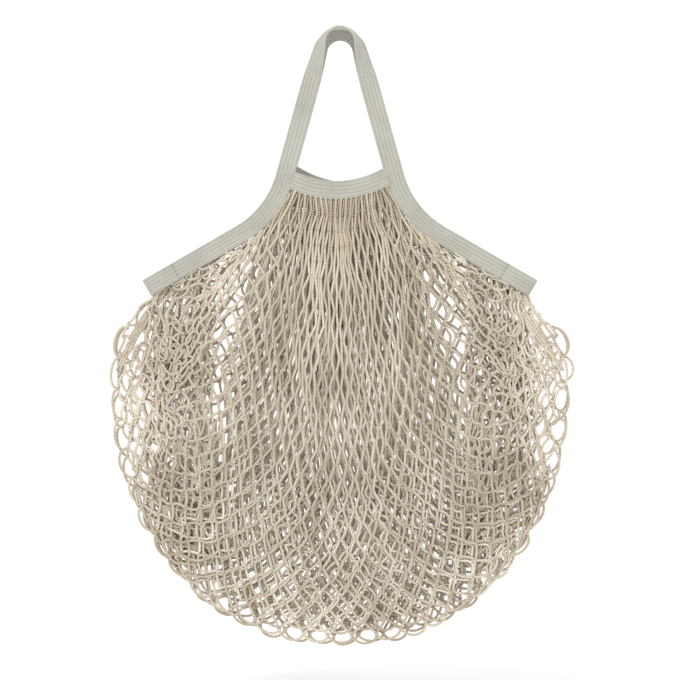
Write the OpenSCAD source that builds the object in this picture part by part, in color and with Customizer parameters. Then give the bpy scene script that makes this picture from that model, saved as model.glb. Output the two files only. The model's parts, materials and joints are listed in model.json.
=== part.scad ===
// Mesh produce bag: a knitted cotton net with two short tape handles, hanging from both of them.
// X is the bag's width, Y its depth with the front at -Y, and Z is up.
// The origin is the hang point: the centre line, under the handles, where a hook carries them.
// Every front piece is made once, and the rear ones are its mirror image through the XZ plane.

/* [Tape] */
// Width of the cotton tape
tape_w = 15; // [13:0.5:16]
// Thickness of the folded tape
tape_t = 2; // [1.6:0.1:2.2]
// Rows of stitching along the tape
stitch_rows = 5; // [3:1:6]
// Width of one row of stitching
stitch_w = 0.6; // [0.4:0.1:0.8]
// Height of the stitching above the tape
stitch_h = 0.3; // [0.2:0.05:0.4]

/* [Handles] */
// Depth of the handles' fold lines below the hang point
handle_drop = 108; // [100:1:115]
// Height of the front handle's apex above the hang point
front_apex_z = 11; // [9:0.5:13]
// Height of the rear handle's apex above the hang point
rear_apex_z = 4.5; // [3:0.5:6]
// Turn of the front handle's tape at its apex, in degrees
front_twist = 88; // [60:1:90]
// Turn of the rear handle's tape at its apex, in degrees
rear_twist = 55; // [45:1:90]
// Length of tape over which a leg turns, measured from the apex
twist_run = 70; // [50:1:80]
// Lean of the legs from upright, in degrees
leg_lean = 15.5; // [14:0.5:17]
// Half the spacing of the legs at the fold line
leg_x = 44.4; // [43:0.2:46]
// Depth of a handle's middle plane in front of the bag's own
handle_y = 9; // [9:0.5:11]

/* [Shoulders] */
// Slope of the straight shoulder, from upright, in degrees
shoulder_slope = 60; // [56:1:62]
// Radius of the bend from leg to shoulder
shoulder_r = 80; // [70:1:90]
// Straight tape between the fold line and that bend
leg_run = 5; // [3:0.5:8]
// Straight tape from the bend to the side tip
shoulder_run = 88; // [84:1:92]
// Straight tape from the bend to where the tip's fold begins
tip_start = 61.5; // [58:0.5:61.5]
// Lean of each shoulder towards the bag's middle plane, in degrees
mouth_lean = 2.4; // [2:0.1:3]

/* [Neck] */
// Height of the neck band's lowest point, at the middle of the tape
neck_z = -124; // [-126:0.5:-122]
// Rise of the neck band from its middle to its ends
neck_sag = 9; // [6:0.5:10]
// Half the span over which it rises
neck_half = 38; // [36:0.5:40]
// Length of a bar-tack
tack_l = 9; // [6:0.5:11]
// Width of a bar-tack
tack_w = 2.4; // [1.5:0.1:3]

/* [Net] */
// Height of the line where the mouth folds open
fold_z = -199; // [-199:0.5:-198]
// Thickness of the net
net_t = 1.2; // [1:0.1:1.6]
// Half-width of the net at its widest
net_half_w = 192; // [186:1:196]
// Half-width of the net at the fold line
net_fold_w = 163; // [160:1:165]
// Height of the widest line
net_wide_z = -272; // [-280:1:-265]
// Height of the bottom edge
net_bottom_z = -501; // [-510:1:-490]
// Roundness of the lower outline, where 2 is an ellipse
net_roundness = 2.15; // [2:0.05:2.4]
// Depth of each panel's middle at its fullest
net_depth = 17; // [15:0.5:18]
// Depth of each panel's middle at the fold line
fold_depth = 14; // [12:0.5:14]
// Half-depth of the net's folded edge
edge_depth = 3; // [2.5:0.1:3.5]
// Width of the net's folded edge
edge_w = 2; // [1.6:0.1:2.4]

/* [Hidden] */

joint_gap = 0.4;        // from a fold line to the cut edge of the piece beside it
net_gap = 0.3;          // between the net's edge and the tape that it is sewn to
handle_steps = 28;      // rings along each half of a handle
bend_steps = 14;        // stops along a shoulder's bend
neck_steps = 8;         // stops along each half of the neck band
net_rows = 14;          // rows of points down a panel
yoke_rows = 10;         // rows of points down a yoke
net_columns = 10;       // columns of points on each side of the middle
edge_steps = 12;        // stops along a folded edge of the net
tape_start = -4;        // where a shoulder's outline starts, above the fold line
yoke_top = 11.5;        // distance along the shoulder where the yoke's top corner is
full_drop = 50;         // how far the net's fullest depth lies below a third of the way to its widest
bottom_share = 0.985;   // inner outline of the bottom fold as a share of the outer one
tape_colour = [0.77, 0.76, 0.71];
net_colour = [0.75, 0.71, 0.62];
thread_colour = [0.84, 0.83, 0.78];

function smooth(t) = t * t * (3 - 2 * t);
function row_offset(i) = tape_w * ((i + 0.5) / stitch_rows - 0.5);

// ---- Solids from rings and from grids of points ----

// Closed solid through rings of four points
module sweep(rings) {
    last = len(rings) - 1;
    points = [for (ring = rings) for (p = ring) p];
    sides = [for (i = [0 : last - 1]) for (k = [0 : 3])
             let (a = 4 * i + k, b = 4 * i + (k + 1) % 4) each [[a, b, b + 4], [a, b + 4, a + 4]]];
    caps = [[0, 2, 1], [0, 3, 2], [4 * last, 4 * last + 1, 4 * last + 2], [4 * last, 4 * last + 2, 4 * last + 3]];
    polyhedron(points, concat(sides, caps));
}

// Sheet of thickness t in Y through a grid of points, given row by row
module grid_sheet(rows, t) {
    m = len(rows[0]);
    n = len(rows);
    count = n * m;
    points = [for (dy = [-t / 2, t / 2]) for (row = rows) for (p = row) p + [0, dy, 0]];
    front = [for (j = [0 : n - 2]) for (i = [0 : m - 2])
             let (a = j * m + i) each [[a, a + 1, a + m + 1], [a, a + m + 1, a + m]]];
    rear = [for (f = front) [f[2] + count, f[1] + count, f[0] + count]];
    rim = concat([for (i = [0 : m - 2]) [i, i + 1]],
                 [for (j = [0 : n - 2]) [j * m + m - 1, (j + 1) * m + m - 1]],
                 [for (i = [m - 1 : -1 : 1]) [(n - 1) * m + i, (n - 1) * m + i - 1]],
                 [for (j = [n - 1 : -1 : 1]) [j * m, (j - 1) * m]]);
    walls = [for (e = rim) each [[e[1], e[0], e[0] + count], [e[1], e[0] + count, e[1] + count]]];
    polyhedron(points, concat(front, rear, walls));
}

// Outline drawn in X and Z, made solid from y_front backwards by depth
module upright(y_front, depth) {
    translate([0, y_front + depth, 0]) rotate([90, 0, 0]) linear_extrude(depth) children();
}

// ---- Handle: a tape bent over the hook, whose outer face turns up towards the apex ----

// Radius of the bend that carries the legs down to leg_x at the fold line
function apex_r(apex_z) = (leg_x - tan(leg_lean) * (apex_z + handle_drop))
    / (cos(leg_lean) - tan(leg_lean) * (1 - sin(leg_lean)));
function arc_run(apex_z) = apex_r(apex_z) * (90 - leg_lean) * PI / 180;
function handle_half(apex_z) = arc_run(apex_z)
    + (apex_z - apex_r(apex_z) * (1 - sin(leg_lean)) + handle_drop) / cos(leg_lean);

// Centre of the tape at distance q from the apex, and the direction outwards from the loop
function handle_centre(q, apex_z) =
    let (r = apex_r(apex_z), side = q < 0 ? -1 : 1, arc = arc_run(apex_z),
         a = min(abs(q), arc) / r * 180 / PI, m = max(0, abs(q) - arc))
    [side * (r * sin(a) + m * sin(leg_lean)), apex_z - r + r * cos(a) - m * cos(leg_lean), side * sin(a), cos(a)];

// Point of the tape at distance q, w across it and f out of its outer face
function handle_point(q, w, f, apex_z, twist) =
    let (c = handle_centre(q, apex_z), turn = twist * (1 - smooth(min(1, abs(q) / twist_run))),
         across = w * cos(turn) + f * sin(turn))
    [c[0] + across * c[2], w * sin(turn) - f * cos(turn) - handle_y, c[1] + across * c[3]];

// The same point slid along the leg onto the level cut above the fold line
function level_cut(p) =
    let (slide = (p[2] + handle_drop - joint_gap) / cos(leg_lean), side = p[0] < 0 ? -1 : 1)
    p + slide * [side * sin(leg_lean), 0, -cos(leg_lean)];

// Strip of the handle from w0 to w1 across it and from f0 to f1 out of it
module handle_strip(w0, w1, f0, f1, apex_z, twist) {
    half = handle_half(apex_z);
    sweep([for (i = [-handle_steps : handle_steps])
           let (q = half * i / handle_steps,
                ring = [for (wf = [[w0, f0], [w1, f0], [w1, f1], [w0, f1]])
                        handle_point(q, wf[0], wf[1], apex_z, twist)])
           abs(i) == handle_steps ? [for (p = ring) level_cut(p)] : ring]);
}

module handle_tape(apex_z, twist) {
    handle_strip(-tape_w / 2, tape_w / 2, -tape_t / 2, tape_t / 2, apex_z, twist);
}

module handle_rows(apex_z, twist) {
    for (i = [0 : stitch_rows - 1])
        handle_strip(row_offset(i) - stitch_w / 2, row_offset(i) + stitch_w / 2,
                     tape_t / 2, tape_t / 2 + stitch_h, apex_z, twist);
}

// ---- Shoulder: the same tape from the fold line, through a bend, to the side tip ----

bend_end = leg_run + shoulder_r * (shoulder_slope - leg_lean) * PI / 180;
tip_s = bend_end + shoulder_run;
cut_s = bend_end + tip_start;

// Centre of the tape at distance s below the fold line, and its angle from upright
function shoulder_centre(s) =
    let (before = min(s, leg_run), in_bend = min(max(s - leg_run, 0), bend_end - leg_run),
         after = max(s - bend_end, 0), a = leg_lean + in_bend / shoulder_r * 180 / PI)
    [leg_x + before * sin(leg_lean) + shoulder_r * (cos(leg_lean) - cos(a)) + after * sin(a),
     -handle_drop - before * cos(leg_lean) + shoulder_r * (sin(leg_lean) - sin(a)) - after * cos(a),
     a];
function shoulder_edge(s, o) =
    let (c = shoulder_centre(s)) [c[0] + o * cos(c[2]), c[1] + o * sin(c[2])];

// Outline of a strip of the shoulder, from o0 to o1 across the tape and from s0 to s1 along it
module shoulder_outline(s0, s1, o0, o1) {
    inside = [for (i = [0 : bend_steps])
              let (s = leg_run + (bend_end - leg_run) * i / bend_steps) if (s > s0 && s < s1) s];
    stops = concat([s0], inside, [s1]);
    polygon(concat([for (s = stops) shoulder_edge(s, o1)],
                   [for (i = [len(stops) - 1 : -1 : 0]) shoulder_edge(stops[i], o0)]));
}

// Everything of the mouth lies in one plane that leans in towards the tips
module mouth_plane() {
    translate([0, -handle_y, -handle_drop]) rotate([mouth_lean, 0, 0]) translate([0, handle_y, handle_drop])
        children();
}

module below_fold_line() {
    intersection() {
        children();
        translate([-net_half_w, net_bottom_z])
            square([2 * net_half_w, -handle_drop - joint_gap - net_bottom_z]);
    }
}

module shoulder_tape() {
    mouth_plane() upright(-handle_y - tape_t / 2, tape_t)
        below_fold_line() shoulder_outline(tape_start, cut_s, -tape_w / 2, tape_w / 2);
}

module shoulder_rows() {
    mouth_plane() upright(-handle_y - tape_t / 2 - stitch_h, stitch_h)
        below_fold_line() for (i = [0 : stitch_rows - 1])
            shoulder_outline(tape_start, cut_s, row_offset(i) - stitch_w / 2, row_offset(i) + stitch_w / 2);
}

// ---- Neck band: a tape that sags between the two legs ----

function neck_line(x) = neck_z + neck_sag * pow(x / neck_half, 2);
function neck_slope(x) = atan(2 * neck_sag * x / pow(neck_half, 2));
function neck_edge(x, o) = [x - o * sin(neck_slope(x)), neck_line(x) + o * cos(neck_slope(x))];
function neck_foot(x) = neck_line(x) - tape_w / 2 / cos(neck_slope(x));

// Outline of a strip of the neck band, cut to fit between the shoulders
module neck_outline(o0, o1) {
    reach = neck_half + tape_w / 2;
    stops = [for (i = [-neck_steps : neck_steps]) reach * i / neck_steps];
    difference() {
        polygon(concat([for (x = stops) neck_edge(x, o0)],
                       [for (i = [len(stops) - 1 : -1 : 0]) neck_edge(stops[i], o1)]));
        for (side = [0, 1]) mirror([side, 0])
            shoulder_outline(tape_start, cut_s, -tape_w / 2, 2 * tape_w);
    }
}

module neck_tape() {
    mouth_plane() upright(-handle_y - tape_t / 2, tape_t)
        below_fold_line() neck_outline(-tape_w / 2, tape_w / 2);
}

module neck_rows() {
    mouth_plane() upright(-handle_y - tape_t / 2 - stitch_h, stitch_h)
        below_fold_line() for (i = [0 : stitch_rows - 1])
            neck_outline(row_offset(i) - stitch_w / 2, row_offset(i) + stitch_w / 2);
}

// Dense block of stitches over the join of neck band and leg, between two rows of stitching
module bar_tack() {
    middle = shoulder_edge(leg_run, -tape_w / 2 + tack_w / 2 + stitch_w);
    mouth_plane() upright(-handle_y - tape_t / 2 - stitch_h, stitch_h)
        difference() {
            translate(middle) rotate(leg_lean) square([tack_w, tack_l], center = true);
            for (i = [0 : stitch_rows - 1])
                shoulder_outline(tape_start, cut_s, row_offset(i) - stitch_w / 2, row_offset(i) + stitch_w / 2);
        }
}

// ---- Side tip: the tape folded round to the rear ----

tip_y = handle_y - (cut_s + tip_s) / 2 * cos(shoulder_slope) * tan(mouth_lean) - 1;

module tip_tape() {
    half = tip_y + tape_t / 2;
    difference() {
        upright(-half, 2 * half) shoulder_outline(cut_s + 1.5 * joint_gap, tip_s, -tape_w / 2, tape_w / 2);
        upright(tape_t - half, 2 * (half - tape_t))
            shoulder_outline(cut_s, tip_s - tape_t, -tape_w, tape_w);
    }
}

module tip_rows() {
    half = tip_y + tape_t / 2;
    for (y = [-half - stitch_h, half])
        upright(y, stitch_h) for (i = [0 : stitch_rows - 1])
            shoulder_outline(cut_s + 1.5 * joint_gap, tip_s,
                             row_offset(i) - stitch_w / 2, row_offset(i) + stitch_w / 2);
}

// ---- Net ----

// Half-width of the net at height z
function net_half(z) = z > net_wide_z
    ? net_half_w - (net_half_w - net_fold_w) * pow((z - net_wide_z) / (fold_z - net_wide_z), 2)
    : net_half_w * pow(max(0, 1 - pow((z - net_wide_z) / (net_bottom_z - net_wide_z), net_roundness)),
                       1 / net_roundness);

// Depth of a panel's middle at height z, and of any point of it
full_z = (2 * net_wide_z + fold_z) / 3 - full_drop;
function net_middle(z) = z > full_z
    ? net_depth - (net_depth - fold_depth) * pow((z - full_z) / (fold_z - full_z), 2)
    : edge_depth + (net_depth - edge_depth) * sqrt(max(0, 1 - pow((z - full_z) / (net_bottom_z - full_z), 2)));
function across(u) = pow(max(0, 1 - u * u), 0.6);

// Lower panel: rows close up towards the bottom, and columns towards the edges
module net_panel() {
    top = fold_z - joint_gap;
    grid_sheet([for (j = [net_rows : -1 : 0])
                let (z = top + (net_bottom_z - top) * sin(88 * j / net_rows), half = net_half(z))
                [for (i = [-net_columns : net_columns])
                 let (u = sin(90 * i / net_columns))
                 [u * half, -edge_depth - (net_middle(z) - edge_depth) * across(u), z]]], net_t);
}

// Folded edge of the net between two heights, on the right
module net_edge_outline(z_high, z_low, steps) {
    heights = [for (i = [0 : steps]) z_high + (z_low - z_high) * sin(89 * i / steps)];
    polygon(concat([for (z = heights) [net_half(z), z]],
                   [for (i = [steps : -1 : 0]) [net_half(heights[i]) - edge_w, heights[i]]]));
}

side_end_z = (net_wide_z + 3 * net_bottom_z) / 4;
inner_depth = edge_depth - net_t / 2 - 0.05;

module net_side() {
    upright(-inner_depth, 2 * inner_depth) net_edge_outline(fold_z - joint_gap, side_end_z, edge_steps);
}

// Bottom edge, from where one side ends to where the other does
module net_bottom() {
    heights = [for (i = [0 : edge_steps])
               side_end_z - 0.1 + (net_bottom_z - side_end_z) * sin(89.9 * i / edge_steps)];
    outer = concat([for (z = heights) [net_half(z), z]],
                   [for (i = [edge_steps : -1 : 0]) [-net_half(heights[i]), heights[i]]]);
    inner = [for (p = outer) [p[0], p[1] - side_end_z] * bottom_share + [0, side_end_z]];
    upright(-inner_depth, 2 * inner_depth)
        polygon(concat(outer, [for (i = [len(inner) - 1 : -1 : 0]) inner[i]]));
}

// Yoke: the net between the fold line, the shoulders and the neck band
function yoke_x(v) = shoulder_edge(yoke_s(v), -tape_w / 2 - net_gap)[0];
function yoke_z(v) = shoulder_edge(yoke_s(v), -tape_w / 2 - net_gap)[1];
function yoke_s(v) = yoke_top + (cut_s - yoke_top) * (1 - v);
function plane_y(z) = handle_y + (handle_drop + z) * tan(mouth_lean);

module net_yoke() {
    top_x = yoke_x(1);
    rise = fold_z + joint_gap - yoke_z(0);
    grid_sheet([for (j = [0 : yoke_rows])
                let (v = j / yoke_rows, half = yoke_x(v))
                [for (i = [-net_columns : net_columns])
                 let (u = sin(90 * i / net_columns),
                      z = yoke_z(v) + rise * (1 - v) + pow(v, 3) * (neck_foot(u * top_x) - net_gap - yoke_z(1)))
                 [u * half, -plane_y(z) - (fold_depth - plane_y(fold_z)) * (1 - v) * across(u), z]]], net_t);
}

// ---- Nodes ----

module left() { mirror([1, 0, 0]) children(); }
module rear() { mirror([0, 1, 0]) children(); }

module net_front_panel() { color(net_colour) net_panel(); }
module net_rear_panel() { color(net_colour) rear() net_panel(); }
module net_left_fold() { color(net_colour) left() net_side(); }
module net_right_fold() { color(net_colour) net_side(); }
module net_bottom_fold() { color(net_colour) net_bottom(); }
module tip_fold_left() { color(tape_colour) left() tip_tape(); }
module tip_fold_right() { color(tape_colour) tip_tape(); }
module tip_stitching_left() { color(thread_colour) left() tip_rows(); }
module tip_stitching_right() { color(thread_colour) tip_rows(); }

module net_front_yoke() { color(net_colour) net_yoke(); }
module neck_band_front() { color(tape_colour) neck_tape(); }
module neck_stitching_front() { color(thread_colour) neck_rows(); }
module shoulder_front_left() { color(tape_colour) left() shoulder_tape(); }
module shoulder_front_right() { color(tape_colour) shoulder_tape(); }
module shoulder_stitching_front_left() { color(thread_colour) left() shoulder_rows(); }
module shoulder_stitching_front_right() { color(thread_colour) shoulder_rows(); }
module bar_tack_front_left() { color(thread_colour) left() bar_tack(); }
module bar_tack_front_right() { color(thread_colour) bar_tack(); }

module net_rear_yoke() { color(net_colour) rear() net_yoke(); }
module neck_band_rear() { color(tape_colour) rear() neck_tape(); }
module neck_stitching_rear() { color(thread_colour) rear() neck_rows(); }
module shoulder_rear_left() { color(tape_colour) rear() left() shoulder_tape(); }
module shoulder_rear_right() { color(tape_colour) rear() shoulder_tape(); }
module shoulder_stitching_rear_left() { color(thread_colour) rear() left() shoulder_rows(); }
module shoulder_stitching_rear_right() { color(thread_colour) rear() shoulder_rows(); }
module bar_tack_rear_left() { color(thread_colour) rear() left() bar_tack(); }
module bar_tack_rear_right() { color(thread_colour) rear() bar_tack(); }

module handle_front() { color(tape_colour) handle_tape(front_apex_z, front_twist); }
module handle_stitching_front() { color(thread_colour) handle_rows(front_apex_z, front_twist); }
module handle_rear() { color(tape_colour) rear() handle_tape(rear_apex_z, rear_twist); }
module handle_stitching_rear() { color(thread_colour) rear() handle_rows(rear_apex_z, rear_twist); }

net_front_panel();
net_rear_panel();
net_left_fold();
net_right_fold();
net_bottom_fold();
tip_fold_left();
tip_fold_right();
tip_stitching_left();
tip_stitching_right();
net_front_yoke();
neck_band_front();
neck_stitching_front();
shoulder_front_left();
shoulder_front_right();
shoulder_stitching_front_left();
shoulder_stitching_front_right();
bar_tack_front_left();
bar_tack_front_right();
net_rear_yoke();
neck_band_rear();
neck_stitching_rear();
shoulder_rear_left();
shoulder_rear_right();
shoulder_stitching_rear_left();
shoulder_stitching_rear_right();
bar_tack_rear_left();
bar_tack_rear_right();
handle_front();
handle_stitching_front();
handle_rear();
handle_stitching_rear();
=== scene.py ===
import json
import math

import bpy
import numpy as np
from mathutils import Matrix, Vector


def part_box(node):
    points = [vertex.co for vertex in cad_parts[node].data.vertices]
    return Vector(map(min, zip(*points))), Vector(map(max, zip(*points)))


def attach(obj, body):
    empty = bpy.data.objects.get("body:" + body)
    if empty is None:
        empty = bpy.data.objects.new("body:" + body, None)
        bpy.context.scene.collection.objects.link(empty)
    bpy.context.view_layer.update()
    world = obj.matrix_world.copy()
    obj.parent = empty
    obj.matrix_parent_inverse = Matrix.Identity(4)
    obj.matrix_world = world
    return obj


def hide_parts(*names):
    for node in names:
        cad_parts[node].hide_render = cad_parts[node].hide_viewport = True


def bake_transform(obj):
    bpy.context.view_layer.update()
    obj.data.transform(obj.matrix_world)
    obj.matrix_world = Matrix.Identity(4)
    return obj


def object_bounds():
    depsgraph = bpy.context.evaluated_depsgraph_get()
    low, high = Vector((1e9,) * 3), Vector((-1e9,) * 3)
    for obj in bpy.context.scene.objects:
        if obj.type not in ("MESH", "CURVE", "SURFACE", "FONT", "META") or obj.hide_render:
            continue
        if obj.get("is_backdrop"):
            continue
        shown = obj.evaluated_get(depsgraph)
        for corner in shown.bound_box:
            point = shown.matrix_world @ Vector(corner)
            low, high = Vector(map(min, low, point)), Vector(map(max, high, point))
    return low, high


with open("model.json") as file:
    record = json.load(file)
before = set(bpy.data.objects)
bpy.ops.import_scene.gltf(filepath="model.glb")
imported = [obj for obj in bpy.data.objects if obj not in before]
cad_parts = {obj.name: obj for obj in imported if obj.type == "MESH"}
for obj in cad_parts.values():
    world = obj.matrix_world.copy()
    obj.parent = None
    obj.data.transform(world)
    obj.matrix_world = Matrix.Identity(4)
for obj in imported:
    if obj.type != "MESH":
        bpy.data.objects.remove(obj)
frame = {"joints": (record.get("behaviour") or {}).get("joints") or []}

# Looks of the mesh produce bag, in metres and in the CAD's frame: X is its width, Y its depth with the
# front at -Y, Z is up, and the origin is the hang point. Tapes are worked out for the front and the
# right, and mirrored for the rear and the left.

cad_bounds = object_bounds()
joints = {j["name"]: j for j in frame["joints"]}
SEED = 11
MIRROR = {"front": 1, "rear": -1}  # of tapes, in Y. The front's own Y is negative
HAND = {"left": -1, "right": 1}
FORWARD = np.array([0.0, -1.0, 0.0])

# ---- Sizes ----

TAPE_W = 0.015  # tape width
TAPE_T = 0.002  # tape thickness
STITCH_ROWS = 5  # rows of stitching along the tape
STITCH_PITCH = 0.0031
STITCH_LENGTH = 0.0026
STITCH_RADIUS = 0.00026
STITCH_SINK = 0.0001  # of a stitch's ends, into its groove
STITCH_RISE = 0.00022  # of its middle, above its ends
STITCH_STRAY = 0.00008  # out of its row
TUCK_SLIM = 0.06  # share by which a tucked end is slimmer
TUCK_RUN = 0.0016
TUCK_STEP = 0.0012  # tape over which it widens again
TACK_TURNS = 14  # zigzags of thread in a bar-tack
TACK_LENGTH = 0.0084
TACK_WIDTH = 0.0022
TACK_THREAD = 0.00017  # radius of its thread
TACK_INSET = 0.0022  # its middle, from the tape's inner edge
TACK_BELOW = 0.001  # its middle, along the tape from the leg's end
RIB_HEIGHT = 0.00028  # pillows between the rows of stitching
FACE_STEPS = 30
RING_STEP = 0.0018  # distance between rings of a tape's mesh

JOINT_GAP = 0.0004  # from a fold line to the cut edge of the CAD's piece beside it
TAPE_ABOVE = 0.00126  # top of the front handle's tape above its centre line
HANDLE_DROP = -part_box("handle_front")[0][2] + JOINT_GAP
HANDLE_TOP = {"front": (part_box("handle_front")[1][2] - TAPE_ABOVE, 88), "rear": (0.0060, 55)}  # height, twist
HANDLE_SEED = {"front": 21, "rear": 22}
HANDLE_Y = 0.009
TWIST_RUN = 0.070  # tape from the apex to where the twist ends
LEG_LEAN = math.radians(15.5)
LEG_X = 0.0444
LEG_RUN = 0.005
SHOULDER_R = 0.080
SHOULDER_SLOPE = math.radians(60)
TIP_RUN = 0.088
MOUTH_LEAN = math.tan(math.radians(2.4))
HANDLE_SPLIT = 0.004  # distance below the fold line where the handle's mesh ends
TIP_TURN = 0.005  # length left at a side tip for the tape's turn
SHOULDER_CUT = 0.0615  # from the end of the shoulder's bend to the tip's own tape
TAPE_UNDER = 0.003  # by which one tape goes on beneath the next

NECK_Z = -0.124
NECK_SAG = 0.009
NECK_HALF = 0.038
NECK_TILT = {"front": 0.0016, "rear": -0.0042}  # rise of each neck band's right end

FOLD_Z = -0.199
NET_HALF = 0.192
NET_FOLD_HALF = 0.163
NET_WIDE_Z = -0.272
NET_BOTTOM_Z = -0.501
NET_ROUNDNESS = 2.15
NET_FULL_Z = -0.298
NET_DEPTH = 0.017
FOLD_DEPTH = 0.014
EDGE_DEPTH = 0.003

YARN_R = 0.00106  # yarn radius
LEG = 0.014  # yarn from knot to knot
COLUMNS = 15  # columns of knots on each side of the middle one
LAST_ROW = 29  # rows of knots below the tape
NECK_COLUMNS = 9.5  # columns on each side that hang from the neck band
FAN_PITCH = 0.0074  # between columns in the taut fan below the neck band
FLARE_PITCH = 0.0100  # between columns where the fan starts to flare
SHOULDER_LEAN = math.radians(42)
PLEAT_INSET = 0.030  # from the edge knots to the outer creases of the side pleats
PLEAT_MOST = 0.050  # widest side pleat
PLEAT_INNER_X = 0.106
SIDE_LENGTH = 0.290  # length of net in the side columns
INNER_COLUMNS = 10  # columns of the inner folds of net, on each side of the middle one
INNER_ROWS = 27
INNER_LENGTH = 0.352
INNER_NECK_COLUMNS = 8  # of those, the ones that start behind the neck band
BOTTOM_COLUMNS = 8  # columns of the net folded up in the bottom, on each side of the middle one
BOTTOM_ROWS = 13
BOTTOM_LENGTH = 0.122
BOTTOM_INSET = 0.008  # from its end to the edge knots
BOTTOM_SHARE = 0.70  # of the outer net's depth
BOTTOM_OFFSET = {"front": 0.25, "rear": -0.12}  # columns by which it is out of step with the outer net
GUSSET_COLUMNS = 3
GUSSET_ROWS = 21
GUSSET_REACH = 0.009  # by which the middle fold of a side lies further out
WING_COLUMNS = 1  # net between the tape's tip and the first knots of the edge
WING_ROWS = 6
DEEP = 0.009  # depth inside the bag at which the inner yarn's painted lightening is full
INNER_PAINTED_LIGHT = 1.25  # painted light: how much paler the inner yarn is painted, to lift the shade between the layers
SETTLING = 240  # passes that pull overlong legs together
SCALLOP = 0.008  # from the outline in to the edge knots
EDGE_TOP_Z = FOLD_Z - 0.036
EDGE_CLOSING = 0.144  # share by which edge knots are closer than even at the bottom's middle
LOOP_YARN = 0.0285  # yarn in a loop along the edge
LOOP_MOST = 0.0100  # deepest loop
BOW_MOST = 0.0042  # widest bow of a slack leg
FAN_Z = -0.257
FLARE_Z = (-0.372, -0.332)  # height of the flare, in the middle and below the neck band's ends
FAN_SPREAD = 0.00014  # by which the pitch widens with every column
WIDE_STRAY = (0.0016, 0.0055)  # of knots, in long waves: in taut and in slack net
FINE_STRAY = (0.0013, 0.0034)  # in short waves
STRAY_WAVES = (0.055, 0.018)  # lengths of the two
RIPPLE = (0.0007, 0.0014)  # in depth
LAYER_GAP = 0.0017  # between the layers of a side pleat
YARN_BEHIND = 0.0019  # by which every other yarn starts further in
YARN_TUCK = 0.0025  # by which yarn starts above the tape's edge
PLEAT_LEAST = 0.004
GUSSET_PATH = ((0.131, -0.197), (0.133, -0.270), (0.131, -0.340), (0.121, -0.395), (0.106, -0.432))  # X, Z
GUSSET_PLACES = (0, 0.25, 0.55, 0.8, 1.0)  # shares of its length at those points
YARN_SIDES = 6
LEG_STEPS = 8


def smooth(t):
    t = np.clip(t, 0, 1)
    return t * t * (3 - 2 * t)


def lerp(a, b, t):
    return a + (b - a) * t


def unit(v):
    return v / np.maximum(np.linalg.norm(v, axis=-1, keepdims=True), 1e-12)


def side_of(q):
    return np.where(q < 0, -1.0, 1.0)


def lengths(path):
    """Distance run along a path at each of its points."""
    return np.concatenate([[0], np.cumsum(np.linalg.norm(np.diff(path, axis=0), axis=1))])


def hermite(t, start, end, leave, arrive, reach):
    return ((2 * t ** 3 - 3 * t ** 2 + 1) * start + (t ** 3 - 2 * t ** 2 + t) * leave * reach
            + (3 * t ** 2 - 2 * t ** 3) * end + (t ** 3 - t ** 2) * arrive * reach)


def bezier(t, a, b, c, d):
    return (1 - t) ** 3 * a + 3 * t * (1 - t) ** 2 * b + 3 * t * t * (1 - t) * c + t ** 3 * d


# ---- Meshes ----

def placed(name, data):
    piece = bpy.data.objects.new(name, data)
    bpy.context.scene.collection.objects.link(piece)
    return piece


class Build:
    """Collects closed tubes and ribbons into one mesh."""

    def __init__(self):
        self.points, self.quads, self.quad_uv, self.caps, self.cap_uv, self.tone = [], [], [], [], [], []
        self.count = 0

    def rings(self, rings, along, tone):
        """A closed skin through rings of points, one ring per row."""
        n, m = rings.shape[:2]
        row, turn = np.meshgrid(np.arange(n - 1), np.arange(m), indexing="ij")
        a = self.count + row * m + turn
        b = self.count + row * m + (turn + 1) % m
        self.quads.append(np.stack([a, b, b + m, a + m], -1).reshape(-1, 4))
        u0, u1, v0, v1 = along[row], along[row + 1], turn / m, (turn + 1) / m
        self.quad_uv.append(np.stack([u0, v0, u0, v1, u1, v1, u1, v0], -1).reshape(-1, 8))
        for i, order in ((0, np.arange(m)[::-1]), (n - 1, np.arange(m))):
            self.caps.append(self.count + i * m + order)
            self.cap_uv.append(np.stack([np.full(m, along[i]), order / m], -1))
        self.points.append(rings.reshape(-1, 3))
        self.tone.append(tone if np.size(tone) == n * m else np.repeat(np.broadcast_to(tone, n), m))
        self.count += n * m

    def tube(self, path, radius, sides, tone):
        tangent = unit(np.gradient(path, axis=0))
        first = unit(np.cross(tangent, [0.05, 1.0, 0.08]))
        second = np.cross(tangent, first)
        angle = np.arange(sides) * 2 * math.pi / sides
        radius = np.broadcast_to(radius, len(path))[:, None, None]
        ring = path[:, None] + radius * (np.cos(angle)[None, :, None] * first[:, None]
                                         + np.sin(angle)[None, :, None] * second[:, None])
        self.rings(ring, lengths(path), tone)

    def finish(self, name, material):
        mesh = bpy.data.meshes.new(name)
        corners = np.concatenate([np.concatenate(self.quads).ravel()] + self.caps)
        uv = np.concatenate([np.concatenate(self.quad_uv).ravel()] + [v.ravel() for v in self.cap_uv])
        sizes = np.concatenate([np.full(sum(len(q) for q in self.quads), 4), [len(c) for c in self.caps]])
        mesh.vertices.add(self.count)
        mesh.vertices.foreach_set("co", np.concatenate(self.points).ravel())
        mesh.loops.add(len(corners))
        mesh.loops.foreach_set("vertex_index", corners.astype(np.int32))
        mesh.polygons.add(len(sizes))
        mesh.polygons.foreach_set("loop_start", np.concatenate([[0], np.cumsum(sizes)[:-1]]).astype(np.int32))
        mesh.polygons.foreach_set("use_smooth", np.ones(len(sizes), bool))
        mesh.update(calc_edges=True)
        mesh.uv_layers.new(name="along").data.foreach_set("uv", uv)
        tones = mesh.attributes.new("tone", "FLOAT", "POINT")
        tones.data.foreach_set("value", np.concatenate(self.tone))
        mesh.materials.append(material)
        return placed(name, mesh)


# ---- Materials ----

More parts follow.
